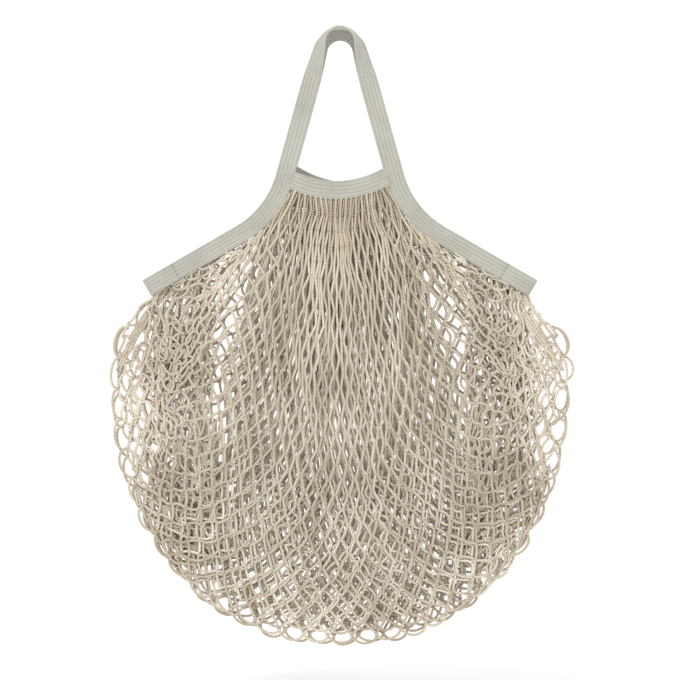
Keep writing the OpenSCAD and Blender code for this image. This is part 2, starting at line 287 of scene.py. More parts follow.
YARN_TWIST = 330.0  # plies that pass in a metre of yarn
THREAD_TWIST = 900.0
TAPE_PICKS = 1500  # cross threads in a metre of tape
TAPE_ENDS = 60  # long threads round the tape
WHITE = (1.0, 1.0, 1.0)


class Look:
    """A material, and the nodes that lead to its shader."""

    def __init__(self, name):
        self.material = bpy.data.materials.new(name)
        self.material.use_nodes = True
        self.nodes, self.links = self.material.node_tree.nodes, self.material.node_tree.links
        self.shader = self.nodes["Principled BSDF"]

    def maths(self, operation, *values):
        node = self.nodes.new("ShaderNodeMath")
        node.operation = operation
        for socket, value in zip(node.inputs, values):
            if isinstance(value, (int, float)):
                socket.default_value = value
            else:
                self.links.new(value, socket)
        return node.outputs[0]

    def wave(self, value, turns=1):
        return self.maths("SINE", self.maths("MULTIPLY", value, 2 * math.pi * turns))

    def ramp(self, value, *stops):
        node = self.nodes.new("ShaderNodeValToRGB")
        while len(node.color_ramp.elements) < len(stops):
            node.color_ramp.elements.new(0.5)
        for element, (place, colour) in zip(node.color_ramp.elements, stops):
            element.position = place
            element.color = (*colour, 1)
        self.links.new(value, node.inputs[0])
        return node.outputs[0]

    def noise(self, scale, detail=3.0):
        where = self.nodes.new("ShaderNodeTexCoord")
        node = self.nodes.new("ShaderNodeTexNoise")
        node.inputs["Scale"].default_value = scale
        node.inputs["Detail"].default_value = detail
        self.links.new(where.outputs["Object"], node.inputs["Vector"])
        return node.outputs["Fac"]

    def tone(self):
        node = self.nodes.new("ShaderNodeAttribute")
        node.attribute_name = "tone"
        return node.outputs["Fac"]

    def tinted(self, colour, *tints):
        """A colour, multiplied by each of the tints in turn."""
        for tint in tints:
            node = self.nodes.new("ShaderNodeMix")
            node.data_type = "RGBA"
            node.blend_type = "MULTIPLY"
            node.inputs[0].default_value = 1.0
            self.links.new(colour, node.inputs[6])
            self.links.new(tint, node.inputs[7])
            colour = node.outputs[2]
        return colour

    def along_uv(self):
        """Metres along the piece, and the share of the way round it."""
        uv = self.nodes.new("ShaderNodeUVMap")
        uv.uv_map = "along"
        split = self.nodes.new("ShaderNodeSeparateXYZ")
        self.links.new(uv.outputs[0], split.inputs[0])
        return split.outputs[0], split.outputs[1]

    def fabric(self, colour, roughness, sheen):
        self.links.new(colour, self.shader.inputs["Base Color"])
        for name, value in (("Roughness", roughness), ("Specular IOR Level", 0.2), ("Sheen Weight", sheen),
                            ("Sheen Roughness", 0.6), ("Sheen Tint", (1.0, 0.97, 0.92, 1))):
            self.shader.inputs[name].default_value = value

    def bump(self, *heights):
        """Chains several (height, strength, distance) bumps onto the shader's normal."""
        normal = None
        for height, strength, distance in heights:
            node = self.nodes.new("ShaderNodeBump")
            node.inputs["Strength"].default_value = strength
            node.inputs["Distance"].default_value = distance
            self.links.new(height, node.inputs["Height"])
            if normal is not None:
                self.links.new(normal, node.inputs["Normal"])
            normal = node.outputs[0]
        self.links.new(normal, self.shader.inputs["Normal"])


def yarn_material():
    """Unbleached plied cotton yarn: slanting plies, fuzz, and slow drifts from cream to warm beige. The tone
    attribute also paints inner yarn paler, as painted light that lifts the shade between the layers.
    """
    look = Look("net_yarn_look")
    along, round_it = look.along_uv()
    plies = look.maths("ADD", look.maths("MULTIPLY", along, YARN_TWIST),
                       look.maths("MULTIPLY", round_it, 2.0))
    groove = look.maths("MULTIPLY_ADD", look.wave(plies), 0.5, 0.5)
    slow = look.noise(17.0, 4.0)
    fine = look.noise(900.0, 5.0)
    tone = look.tone()
    drift = look.maths("ADD", look.maths("MULTIPLY", slow, 0.7), look.maths("MULTIPLY", tone, 0.25))
    base = look.ramp(drift, (0.25, (0.455, 0.385, 0.285)), (0.50, (0.575, 0.51, 0.40)),
                     (0.70, (0.71, 0.65, 0.535)), (0.90, (0.88, 0.825, 0.72)))
    shade = look.ramp(groove, (0.0, (0.74, 0.72, 0.68)), (0.55, WHITE))
    shaded = look.tinted(base, shade)
    fuzz = look.ramp(fine, (0.3, (0.88, 0.87, 0.85)), (0.6, WHITE))
    look.fabric(look.tinted(shaded, fuzz), 0.88, 0.25)
    look.bump((groove, 0.7, 0.0003), (fine, 0.3, 0.0001))
    return look.material


def tape_material():
    """Cotton tape: threads along it, fine picks across it, painted shade in the grooves where it is stitched
    down, and painted shade in the weave's low places.
    """
    look = Look("cotton_tape_look")
    along, across = look.along_uv()
    picks = look.wave(along, TAPE_PICKS)
    warp = look.wave(across, TAPE_ENDS)
    weave = look.maths("MULTIPLY", picks, warp)
    slow = look.noise(40.0, 4.0)
    fine = look.noise(1200.0, 4.0)
    base = look.ramp(slow, (0.3, (0.385, 0.376, 0.33)), (0.7, (0.45, 0.446, 0.40)))
    height = look.maths("MULTIPLY_ADD", weave, 0.5, 0.5)
    # Painted shade: darker where the face lies low in the grooves between the stitched ribs
    painted_groove_shade = look.ramp(look.tone(), (0.0, (0.60, 0.585, 0.55)), (0.6, (0.97, 0.97, 0.97)), (1.0, WHITE))
    base = look.tinted(base, painted_groove_shade)
    # Painted shade: darker in the weave's low places
    painted_weave_shade = look.ramp(height, (0.0, (0.90, 0.89, 0.87)), (0.6, WHITE))
    fuzz = look.ramp(fine, (0.3, (0.9, 0.9, 0.88)), (0.65, WHITE))
    look.fabric(look.tinted(base, painted_weave_shade, fuzz), 0.85, 0.3)
    look.bump((height, 0.08, 0.00004), (fine, 0.06, 0.00002))
    return look.material


def thread_material():
    """Spun sewing thread, about as dark as the tape."""
    look = Look("sewing_thread_look")
    along, round_it = look.along_uv()
    plies = look.maths("ADD", look.maths("MULTIPLY", along, THREAD_TWIST), round_it)
    wave = look.wave(plies)
    slow = look.noise(60.0)
    look.fabric(look.ramp(slow, (0.3, (0.37, 0.36, 0.32)), (0.7, (0.44, 0.43, 0.385))), 0.6, 0.2)
    look.bump((wave, 0.4, 0.00008))
    return look.material


YARN, TAPE, THREAD = yarn_material(), tape_material(), thread_material()


# ---- The tape's route: the CAD's, but with the rear handle's apex 1.5 mm higher, as in the photo ----

def handle_radius(apex_z):
    """Radius of the handle's top, which the straight legs run out of."""
    return ((LEG_X - math.tan(LEG_LEAN) * (apex_z + HANDLE_DROP))
            / (math.cos(LEG_LEAN) - math.tan(LEG_LEAN) * (1 - math.sin(LEG_LEAN))))


def handle_frame(q, apex_z, twist):
    """Centre, across and outward vectors of the front handle's tape at distance q from its apex."""
    q = np.asarray(q, float)
    r = handle_radius(apex_z)
    arc = r * (math.pi / 2 - LEG_LEAN)
    side = side_of(q)
    a = np.minimum(abs(q), arc) / r
    m = np.maximum(abs(q) - arc, 0)
    x = side * (r * np.sin(a) + m * math.sin(LEG_LEAN))
    z = apex_z - r + r * np.cos(a) - m * math.cos(LEG_LEAN)
    out = np.stack([side * np.sin(a), 0 * a, np.cos(a)], -1)
    turn = np.radians(twist) * (1 - smooth(abs(q) / TWIST_RUN))[..., None]
    depth = np.array([0.0, 1.0, 0.0])
    centre = np.stack([x, 0 * x - HANDLE_Y, z], -1)
    return centre, out * np.cos(turn) + depth * np.sin(turn), out * np.sin(turn) - depth * np.cos(turn)


def handle_half(apex_z):
    """Length of the tape from the apex to the fold line."""
    r = handle_radius(apex_z)
    return (r * (math.pi / 2 - LEG_LEAN)
            + (apex_z - r * (1 - math.sin(LEG_LEAN)) + HANDLE_DROP) / math.cos(LEG_LEAN))


def plane_y(z):
    """Distance of a mouth's tape from the middle plane."""
    return HANDLE_Y + (HANDLE_DROP + z) * MOUTH_LEAN


BEND_END = LEG_RUN + SHOULDER_R * (SHOULDER_SLOPE - LEG_LEAN)
TIP_S = BEND_END + TIP_RUN
CUT_S = BEND_END + SHOULDER_CUT


def shoulder_point(s, o=0.0):
    """Point of the front right shoulder at distance s below the fold line and o across the tape."""
    s = np.asarray(s, float)
    before = np.minimum(s, LEG_RUN)
    a = LEG_LEAN + np.clip(s - LEG_RUN, 0, BEND_END - LEG_RUN) / SHOULDER_R
    after = np.maximum(s - BEND_END, 0)
    x = (LEG_X + before * math.sin(LEG_LEAN) + SHOULDER_R * (math.cos(LEG_LEAN) - np.cos(a))
         + after * np.sin(a) + o * np.cos(a))
    z = (-HANDLE_DROP - before * math.cos(LEG_LEAN) + SHOULDER_R * (math.sin(LEG_LEAN) - np.sin(a))
         - after * np.cos(a) + o * np.sin(a))
    return np.stack([x, -plane_y(z), z], -1), a


def shoulder_frame(s):
    centre, a = shoulder_point(s)
    across = np.stack([np.cos(a), -np.sin(a) * MOUTH_LEAN, np.sin(a)], -1)
    return centre, unit(across), np.broadcast_to(FORWARD, centre.shape)


def tip_frame():
    """The tape at the right tip, folded round from the front to the rear."""
    start, a = shoulder_point(CUT_S)
    run = TIP_S - CUT_S - TIP_TURN
    depth = -start[1]
    straight = np.linspace(0, run, 12)
    turn = np.linspace(0, math.pi, 15)[1:-1]
    forward = np.concatenate([straight, run + depth * np.sin(turn), straight[::-1]])
    y = np.concatenate([np.full(12, -depth), -depth * np.cos(turn), np.full(12, depth)])
    centre = np.stack([start[0] + forward * math.sin(a), y, start[2] - forward * math.cos(a)], -1)
    across = np.broadcast_to(np.array([math.cos(a), 0, math.sin(a)]), centre.shape)
    face = np.concatenate([np.zeros(12), turn, np.full(12, math.pi)])
    ahead = np.array([math.sin(a), 0, -math.cos(a)])
    out = np.sin(face)[:, None] * ahead + np.cos(face)[:, None] * FORWARD
    return centre, across, out


def neck_line(x):
    return NECK_Z + NECK_SAG * (x / NECK_HALF) ** 2


def neck_frame(x):
    slope = np.arctan(2 * NECK_SAG * x / NECK_HALF ** 2)
    z = neck_line(x)
    centre = np.stack([x, -plane_y(z), z], -1)
    across = unit(np.stack([-np.sin(slope), -np.cos(slope) * MOUTH_LEAN, np.cos(slope)], -1))
    return centre, across, np.broadcast_to(FORWARD, centre.shape)


# ---- Tape pieces ----

def tape_profile():
    """The tape's section: ribbed faces between rounded, rolled edges, as (across, outward) pairs."""
    half, edge = TAPE_W / 2, TAPE_T / 2
    flat = np.linspace(-(half - edge), half - edge, FACE_STEPS + 1)
    rib = abs(np.cos(math.pi * STITCH_ROWS * (flat / TAPE_W + 0.5))) ** 0.7
    face = edge - RIB_HEIGHT * (1 - rib)
    turn = np.linspace(math.pi / 2, -math.pi / 2, 7)[1:-1]
    right = np.stack([half - edge + edge * np.cos(turn), edge * np.sin(turn)], -1)
    top = np.stack([flat, face], -1)
    # Tone for painted shade: low where the face sinks into the grooves, full on the rib tops and the rolled
    # edges
    low = np.clip((face - face.min()) / (face.max() - face.min()), 0, 1)
    tone = np.concatenate([low, np.ones(len(right)), low, np.ones(len(right))])
    return np.concatenate([top, right, -top, -right]), tone


def row_offset(i):
    return TAPE_W * ((i + 0.5) / STITCH_ROWS - 0.5)


def ribbon(build, frames, s, tuck):
    """The tape itself, its faces turned outward. With tuck, its first few millimetres are slimmer."""
    centre, across, out = frames
    profile, tone = tape_profile()
    if np.dot(np.cross(across[0], out[0]), centre[1] - centre[0]) > 0:
        profile, tone = profile[::-1], tone[::-1]
    slim = (1 - TUCK_SLIM * tuck * (1 - smooth((s - s[0] - TUCK_RUN) / TUCK_STEP)))[:, None, None]
    section = profile[None, :, :1] * across[:, None] + profile[None, :, 1:] * out[:, None]
    rings = centre[:, None] + slim * section
    build.rings(rings, s, np.broadcast_to(tone, rings.shape[:2]).ravel())


def stitches(build, frames, s, seed):
    """Running stitches along every row, on both faces."""
    centre, across, out = frames
    local = np.random.RandomState(seed)
    shape = np.linspace(-1, 1, 5)
    for face in (1, -1):
        for i in range(STITCH_ROWS):
            start = s[0] + STITCH_PITCH * (0.6 + 0.5 * local.rand())
            for middle in np.arange(start, s[-1] - STITCH_PITCH * 0.6, STITCH_PITCH):
                at = middle + shape * STITCH_LENGTH / 2
                c, a, o = (np.stack([np.interp(at, s, v[:, k]) for k in range(3)], -1)
                           for v in (centre, across, out))
                lift = face * (TAPE_T / 2 - RIB_HEIGHT - STITCH_SINK + STITCH_RISE * (1 - shape ** 2))
                offset = row_offset(i) + local.uniform(-1, 1) * STITCH_STRAY
                build.tube(c + a * offset + o * lift[:, None], STITCH_RADIUS, 5, local.rand())


def mirrored(frames, x=1, y=1):
    flip = np.array([x, y, 1.0])
    return tuple(v * flip for v in frames)


def steps(start, end):
    return np.linspace(start, end, max(4, int(abs(end - start) / RING_STEP)))


def tape_pair(name, frames, s, seed, tuck=0):
    """A ribbon of tape and the stitches on it."""
    ribbon_build, stitch_build = Build(), Build()
    ribbon(ribbon_build, frames, s, tuck)
    stitches(stitch_build, frames, s, seed)
    tape = ribbon_build.finish(name + "_tape", TAPE)
    thread = stitch_build.finish(name + "_stitches", THREAD)
    return tape, thread


def handle_route(apex_z, twist, y):
    """Handle from below one fold line to below the other, where the shoulders take over."""
    half = handle_half(apex_z)
    q = steps(-half, half)
    low = steps(HANDLE_SPLIT, 0)[:-1]
    parts = [mirrored(shoulder_frame(low), x=-1), handle_frame(q, apex_z, twist), shoulder_frame(low[::-1])]
    frames = tuple(np.concatenate([p[k] for p in parts]) for k in range(3))
    return mirrored(frames, y=y), lengths(frames[0])


def make_handle(side):
    frames, s = handle_route(*HANDLE_TOP[side], MIRROR[side])
    tape, thread = tape_pair("handle_" + side, frames, s, HANDLE_SEED[side])
    place = np.array(joints[side + "_handle_fold"]["pos_m"])
    for piece in (tape, thread):
        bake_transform(piece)
    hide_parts("handle_" + side)
    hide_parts("handle_stitching_" + side)


def mouth_blend(piece, side):
    """Bakes the piece's placement into its mesh."""
    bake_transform(piece)


def make_shoulder(side, hand):
    y, x = MIRROR[side], HAND[hand]
    s = steps(HANDLE_SPLIT - TAPE_UNDER, CUT_S)
    frames = mirrored(shoulder_frame(s), x=x, y=y)
    tape, thread = tape_pair(f"shoulder_{side}_{hand}", frames, s, 30 + x + 3 * y, tuck=1)
    for piece in (tape, thread):
        mouth_blend(piece, side)
    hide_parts(f"shoulder_{side}_{hand}")
    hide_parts(f"shoulder_stitching_{side}_{hand}")


def make_tip(hand):
    x = HAND[hand]
    frames = mirrored(tip_frame(), x=x)
    s = lengths(frames[0])
    tape, thread = tape_pair(f"tip_{hand}", frames, s, 41 + x)
    for piece in (tape, thread):
        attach(piece, "bag_body")
    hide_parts("tip_fold_" + hand)
    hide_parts("tip_stitching_" + hand)


def make_neck(side):
    y = MIRROR[side]
    x = np.linspace(-NECK_HALF - TAPE_UNDER, NECK_HALF + TAPE_UNDER, 48)
    frames = mirrored(neck_frame(x), y=y)
    frames[0][:, 2] += NECK_TILT[side] * x / NECK_HALF
    s = lengths(frames[0])
    tape, thread = tape_pair("neck_band_" + side, frames, s, 51 + y)
    for piece in (tape, thread):
        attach(piece, side + "_mouth")
    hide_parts("neck_band_" + side)
    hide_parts("neck_stitching_" + side)


def make_bar_tack(side, hand):
    """A dense zigzag of thread over the join of neck band and leg."""
    y, x = MIRROR[side], HAND[hand]
    build = Build()
    turns = np.linspace(0, TACK_TURNS, 8 * TACK_TURNS + 1)
    s = LEG_RUN + TACK_BELOW + TACK_LENGTH * (turns / TACK_TURNS - 0.5)
    o = -TAPE_W / 2 + TACK_INSET + TACK_WIDTH / 2 * np.sin(2 * math.pi * turns)
    path = np.array([shoulder_point(a, b)[0] for a, b in zip(s, o)])
    path[:, 1] -= TAPE_T / 2
    build.tube(path * np.array([x, y, 1.0]), TACK_THREAD, 5, 0.5)
    piece = build.finish(f"bar_tack_{side}_{hand}_thread", THREAD)
    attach(piece, side + "_mouth")
    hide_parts(f"bar_tack_{side}_{hand}")


# ---- Net ----

def net_half(z):
    upper = NET_HALF - (NET_HALF - NET_FOLD_HALF) * ((z - NET_WIDE_Z) / (FOLD_Z - NET_WIDE_Z)) ** 2
    drop = np.clip((z - NET_WIDE_Z) / (NET_BOTTOM_Z - NET_WIDE_Z), 0, 1)
    return np.where(z > NET_WIDE_Z, upper, NET_HALF * (1 - drop ** NET_ROUNDNESS) ** (1 / NET_ROUNDNESS))


def surface_depth(x, z):
    """Depth in front of the middle plane that the net's CAD solid has at x and z."""
    upper = NET_DEPTH - (NET_DEPTH - FOLD_DEPTH) * ((z - NET_FULL_Z) / (FOLD_Z - NET_FULL_Z)) ** 2
    below = np.clip((z - NET_FULL_Z) / (NET_BOTTOM_Z - NET_FULL_Z), 0, 1)
    lower = EDGE_DEPTH + (NET_DEPTH - EDGE_DEPTH) * np.sqrt(1 - below ** 2)
    middle = np.where(z > NET_FULL_Z, upper, lower)
    u = np.clip(abs(x) / np.maximum(net_half(np.minimum(z, FOLD_Z)), 0.01), 0, 1)
    panel = EDGE_DEPTH + (middle - EDGE_DEPTH) * (1 - u * u) ** 0.6
    rise = smooth((z - FOLD_Z) / 0.070)
    return lerp(panel, plane_y(z) + 0 * x, rise)


def edge_curve():
    """Half of the line of edge knots, from the bottom's middle up to the side, with its outward normal."""
    t = np.linspace(math.pi / 2, 0, 400)
    x = NET_HALF * np.cos(t) ** (2 / NET_ROUNDNESS)
    z = NET_WIDE_Z - (NET_WIDE_Z - NET_BOTTOM_Z) * np.sin(t) ** (2 / NET_ROUNDNESS)
    high = np.linspace(NET_WIDE_Z, EDGE_TOP_Z, 60)[1:]
    x = np.concatenate([x, net_half(high)])
    z = np.concatenate([z, high])
    s = np.concatenate([[0], np.cumsum(np.hypot(np.diff(x), np.diff(z)))])
    even = np.linspace(0, s[-1], 400)
    x, z = np.interp(even, s, x), np.interp(even, s, z)
    dx, dz = np.gradient(x), np.gradient(z)
    normal = unit(np.stack([dz, -dx], -1))
    normal[0] = (0, -1)
    points = np.stack([x, z], -1) - normal * SCALLOP
    return points, normal


EDGE, EDGE_NORMAL = edge_curve()


def on_edge(q):
    """Edge knot of column q, and the outward direction there."""
    share = abs(q) / (COLUMNS + 0.5)
    place = ((1 - EDGE_CLOSING) * share + EDGE_CLOSING * share ** 2) * (len(EDGE) - 1)
    side = side_of(q)
    pick = [np.interp(place, np.arange(len(EDGE)), v) for v in
            (EDGE[:, 0], EDGE[:, 1], EDGE_NORMAL[:, 0], EDGE_NORMAL[:, 1])]
    return np.stack([side * pick[0], pick[1]], -1), np.stack([side * pick[2], pick[3]], -1)


def on_tape(q):
    """Where column q comes out of the tape."""
    side = side_of(q)
    k = abs(q)
    if k <= NECK_COLUMNS:
        x = k / NECK_COLUMNS * (NECK_HALF + 0.002)
        z = neck_line(x) - TAPE_W / 2 / math.cos(math.atan(2 * NECK_SAG * x / NECK_HALF ** 2))
        return np.array([side * x, z])
    s = lerp(0.009, TIP_S - 0.004, ((k - NECK_COLUMNS) / (COLUMNS + 0.5 - NECK_COLUMNS)) ** 1.15)
    point = shoulder_point(s, -TAPE_W / 2)[0]
    return np.array([side * point[0], point[2]])


def tilted(path, side):
    """Moves the top of a column with the tilt of its neck band."""
    x, z = path[:, 0], path[:, 1]
    near = (1 - smooth((NECK_Z - z) / 0.05)) * (1 - smooth((abs(x) - NECK_HALF) / 0.012))
    return np.stack([x, z + NECK_TILT[side] * np.clip(x / NECK_HALF, -1, 1) * near], -1)


def through(points, weights):
    """Smooth curve through the given points, with a tangent at each that follows its neighbours."""
    points = np.array(points)
    tangent = np.gradient(points, np.array(weights), axis=0)
    t = np.linspace(0, 1, 40)[:, None]
    pieces = [hermite(t, points[i], points[i + 1], tangent[i], tangent[i + 1], weights[i + 1] - weights[i])
              for i in range(len(points) - 1)]
    return np.concatenate([p[:-1] for p in pieces[:-1]] + [pieces[-1]])


def fan_route(q, top=None):
    """Route of a column of the taut fan, through one place above its flare and one where it flares."""
    k, side = abs(q), side_of(q)
    above = (side * k * (FAN_PITCH + FAN_SPREAD * k), FAN_Z)
    flare = (side * k * (FLARE_PITCH + FAN_SPREAD * k), lerp(*FLARE_Z, min(k / NECK_COLUMNS, 1.0)))
    bottom = on_edge(np.float64(q))[0]
    return through([on_tape(q) if top is None else top, above, flare, bottom], [0, 0.36, 0.66, 1.0])


def inner_top(q):
    """Where an inner column starts, behind the neck band or the first part of the shoulder."""
    k, side = abs(q), side_of(q)
    if k <= INNER_NECK_COLUMNS:
        return on_tape(q / INNER_NECK_COLUMNS * NECK_COLUMNS * 0.97)
    s = lerp(0.006, 0.050, (k - INNER_NECK_COLUMNS) / (INNER_COLUMNS + 0.5 - INNER_NECK_COLUMNS))
    point = shoulder_point(s, -TAPE_W / 2)[0]
    return np.array([side * point[0], point[2]])


def shoulder_route(q):
    top = on_tape(q)
    bottom, outward = on_edge(np.float64(q))
    side = side_of(q)
    leave = np.array([side * math.sin(SHOULDER_LEAN), -math.cos(SHOULDER_LEAN)])
    reach = np.linalg.norm(bottom - top)
    arrive = unit(lerp(unit(bottom - top), outward, 0.6))
    t = np.linspace(0, 1, 118)[:, None]
    c1, c2 = top + leave * reach * 0.33, bottom - arrive * reach * 0.36
    return bezier(t, top, c1, c2, bottom)


def column_route(q):
    """Folded route of column q from the tape to the edge: X and Z, and how many layers down each point is."""
    k, side = abs(q), side_of(q)
    blend = float(smooth((k - NECK_COLUMNS + 0.5) / 2.0))
    fan = fan_route(q) if blend < 1 else shoulder_route(q)
    sag = shoulder_route(q) if blend > 0 else fan
    even = np.linspace(0, 1, 118)
    fan, sag = (np.stack([np.interp(even, lengths(c) / lengths(c)[-1], c[:, j]) for j in range(2)], -1)
                for c in (fan, sag))
    path = lerp(fan, sag, blend)
    s = lengths(path)
    length = s[-1]
    pleat = min(max(0.0, (SIDE_LENGTH - length) / 4), PLEAT_MOST) * float(smooth((k - NECK_COLUMNS) / 2.5))
    if pleat < PLEAT_LEAST:
        return path, np.zeros(len(path))
    bottom, outward = on_edge(np.float64(q))
    crease = max(length - PLEAT_INSET, 0.3 * length)
    at = np.array([np.interp(crease, s, path[:, j]) for j in range(2)])
    inward = -unit(lerp(outward, np.array([side, -0.35]), 0.4))
    inner = at + inward * pleat
    inner[0] = side * max(side * inner[0], PLEAT_INNER_X)
    first, last = path[s < crease], path[s > crease]
    corners = [at, inner, at + 0.002 * outward, inner - 0.003 * inward, at]
    runs, layer = [first], [np.zeros(len(first))]
    for i in range(4):
        runs.append(lerp(corners[i], corners[i + 1], np.linspace(0, 1, 24)[1:, None]))
        layer.append(i + 0.5 + 0.5 * np.linspace(0, 1, 23))
    return np.concatenate(runs + [last]), np.concatenate(layer + [np.full(len(last), 4.0)])


def row_share(t, flare):
    """Share of its route that a column has run after share t of its rows. Rows close up in the flare."""
    places = np.linspace(0, 1, 60)
    slope = np.interp(places, [0, 0.68, 1], [1, 1, 1 - flare])
    run = np.concatenate([[0], np.cumsum((slope[1:] + slope[:-1]) / 2)])
    return np.interp(t, places, run / run[-1])


def smooth_noise(points, seed, wavelength):
    """Smooth random vector for every point, about one in size."""
    local = np.random.RandomState(seed)
    total = np.zeros((len(points), 3))
    for _ in range(10):
        wave = local.normal(size=3)
        wave *= 2 * math.pi / wavelength / np.linalg.norm(wave) * local.uniform(0.7, 1.4)
        total += np.sin(points @ wave + local.rand() * 6.28)[:, None] * local.normal(size=3)
    return total / 3.2


class Net:
    """One layer of net: its knots, row by row, and the yarns between them."""

    def __init__(self, seed, half_columns, rows, route, depth, slack, flare=0.0, stray=1.0):
        self.seed, self.rows, self.half = seed, rows, half_columns
        self.keys = [(q, j) for j in range(rows + 1)
                     for q in (np.arange(-half_columns, half_columns + 0.1) if j % 2 == 0
                               else np.arange(-half_columns - 0.5, half_columns + 0.6))]
        self.index = {key: i for i, key in enumerate(self.keys)}
        self.q = np.array([q for q, _ in self.keys])
        self.row = np.array([j for _, j in self.keys])
        self.slack = slack(self.q, self.row / rows)
        self.lay(route, flare, stray)
        self.settle()
        self.p[:, 1] = depth(self)
        skin = surface_depth(self.p[:, 0], self.p[:, 2])
        # How deep each knot lies inside the bag: yarn is painted paler by this, as painted light that lifts the
        # shade between the layers
        self.shade = np.clip((skin - 0.0015 - abs(self.p[:, 1])) / DEEP, 0, 1)
        self.orient()

    def lay(self, route, flare, stray):
        self.p = np.zeros((len(self.keys), 3))
        self.layers = np.zeros(len(self.keys))
        for q in sorted(set(self.q)):
            path, layer = route(q)
            s = lengths(path)
            mine = self.q == q
            at = row_share(self.row[mine] / self.rows, flare * float(1 - smooth((abs(q) - 9) / 3))) * s[-1]
            self.p[mine, 0] = np.interp(at, s, path[:, 0])
            self.p[mine, 2] = np.interp(at, s, path[:, 1])
            self.layers[mine] = np.interp(at, s, layer)
        self.free = np.where((self.row == 0) | (self.row == self.rows), 0.0, 1.0)
        apart = self.p + np.stack([0 * self.q, 0.03 * self.layers, 0 * self.q], -1)
        wide, fine = (smooth_noise(apart, self.seed + i, w) for i, w in enumerate(STRAY_WAVES))
        size = self.free * lerp(WIDE_STRAY[0] * stray, WIDE_STRAY[1], self.slack)
        small = self.free * lerp(FINE_STRAY[0] * stray, FINE_STRAY[1], self.slack)
        self.p += size[:, None] * wide * [1, 0, 1] + small[:, None] * fine * [1, 0, 1]
        self.ripple = abs(wide[:, 1]) * lerp(*RIPPLE, self.slack) * self.free

    def settle(self):
        """Pulls knots together, pass after pass, where a leg is longer than its yarn."""
        pairs = [(self.index[(q, j)], self.index[(q + step, j + 1)]) for q, j in self.keys
                 for step in (-0.5, 0.5) if (q + step, j + 1) in self.index]
        a, b = np.array(pairs).T
        for _ in range(SETTLING):
            d = self.p[b] - self.p[a]
            length = np.linalg.norm(d, axis=1)
            over = np.maximum(length - LEG * 0.985, 0) / np.maximum(length, 1e-9)
            move = d * (0.5 * over / np.maximum(self.free[a] + self.free[b], 1))[:, None]
            np.add.at(self.p, a, move * self.free[a][:, None])
            np.add.at(self.p, b, -move * self.free[b][:, None])

    def orient(self):
        """Direction of the column, and the direction across it, at every knot."""
        up, down, left, right = (self.p.copy() for _ in range(4))
        for (q, j), i in self.index.items():
            for store, spots in ((up, ((-0.5, -1), (0.5, -1))), (down, ((-0.5, 1), (0.5, 1))),
                                 (left, ((-1, 0),)), (right, ((1, 0),))):
                found = [self.index[(q + a, j + b)] for a, b in spots if (q + a, j + b) in self.index]
                if found:
                    store[i] = self.p[found].mean(axis=0)
        self.down = unit(down - up)
        across = unit(np.cross([0.0, 1.0, 0.0], self.down))
        self.across = across * np.where(np.sum(across * (right - left), axis=1) >= 0, 1.0, -1.0)[:, None]

    def strand(self, p, build, local):
        """One yarn, zigzagging down between two columns of knots. Every other yarn starts further in."""
        rows = range(self.rows + 1)
        at = [self.index[(float(round(p)) if j % 2 == 0 else math.floor(p) + 0.5, j)] for j in rows]
        lean = np.sign(p - self.q[at])[:, None]
        knots = self.p[at] + self.across[at] * lean * YARN_R * 0.85
        if int(math.floor(2 * p)) % 2:
            knots[:, 1] -= np.sign(knots[:, 1]) * YARN_BEHIND * (1 - smooth(np.arange(len(at)) / 4))
        path = [knots[0][None] + [0, 0, YARN_TUCK]]
        for j in rows[:-1]:
            loose = 0.5 * (self.slack[at[j]] + self.slack[at[j + 1]])
            path.append(leg_points(knots[j], knots[j + 1], self.down[at[j]], self.down[at[j + 1]],
                                   slack_bow(knots[j], knots[j + 1], loose, local), loose)[:-1])
        path.append(knots[-1][None])
        path = np.concatenate(path)
        row = np.linspace(0, self.rows, len(path))
        # Painted light: deeper yarn gets a paler tone
        tone = local.rand() + INNER_PAINTED_LIGHT * np.interp(row, np.arange(len(at)), self.shade[at])
        build.tube(path, YARN_R * local.uniform(0.93, 1.07), YARN_SIDES, tone)

    def knot(self, i, build, local):
        """A turn and a half of yarn that binds two strands."""
        out = np.cross(self.down[i], self.across[i])
        t = np.linspace(0, 1, 13)
        angle = 3 * math.pi * t + local.uniform(0, 6.28)
        path = (self.p[i] + self.across[i] * (np.cos(angle) * YARN_R * 1.5)[:, None]
                + out * (np.sin(angle) * YARN_R * 0.95)[:, None]
                + self.down[i] * ((t - 0.5) * YARN_R * 2.6)[:, None])
        # Painted light: deeper knots get a paler tone
        build.tube(path, YARN_R * 0.48, 5, local.rand() + INNER_PAINTED_LIGHT * self.shade[i])

    def last_pair(self, q):
        """The two knots of the last row that column q lies between."""
        return (self.p[self.index[(q + d, self.rows)]] for d in (-0.5, 0.5))

    def weave(self, part, local, within=math.inf):
        for p in np.arange(-self.half - 0.25, self.half + 0.3, 0.5):
            if abs(p) < within:
                self.strand(p, part(p), local)
        for i, (q, j) in enumerate(self.keys):
            if j > 0 and (abs(q) <= self.half or j == self.rows):
                self.knot(i, part(q), local)


def leg_points(start, end, leave, arrive, bow, loose):
    """A leg of yarn between two knots: it leaves and arrives along the knots, and bows if it is slack."""
    t = np.linspace(0, 1, LEG_STEPS + 1)[:, None]
    pull = min(lerp(0.0045, 0.0065, loose), 0.75 * np.linalg.norm(end - start))
    return hermite(t, start, end, leave, arrive, pull) + np.sin(math.pi * t) * bow


def slack_bow(start, end, loose, local):
    span = np.linalg.norm(end - start)
    spare = max(LEG - span, 0) * 0.9 * loose
    side = unit(np.cross(unit(end - start), [0.0, 1.0, 0.0]))
    size = min(math.sqrt(0.375 * max(span, 0.003) * spare), BOW_MOST)
    return size * (side * local.choice([-1.0, 1.0]) * local.uniform(0.5, 1.0)
                   + np.array([0, 1.0, 0]) * local.uniform(-0.35, 0.35))


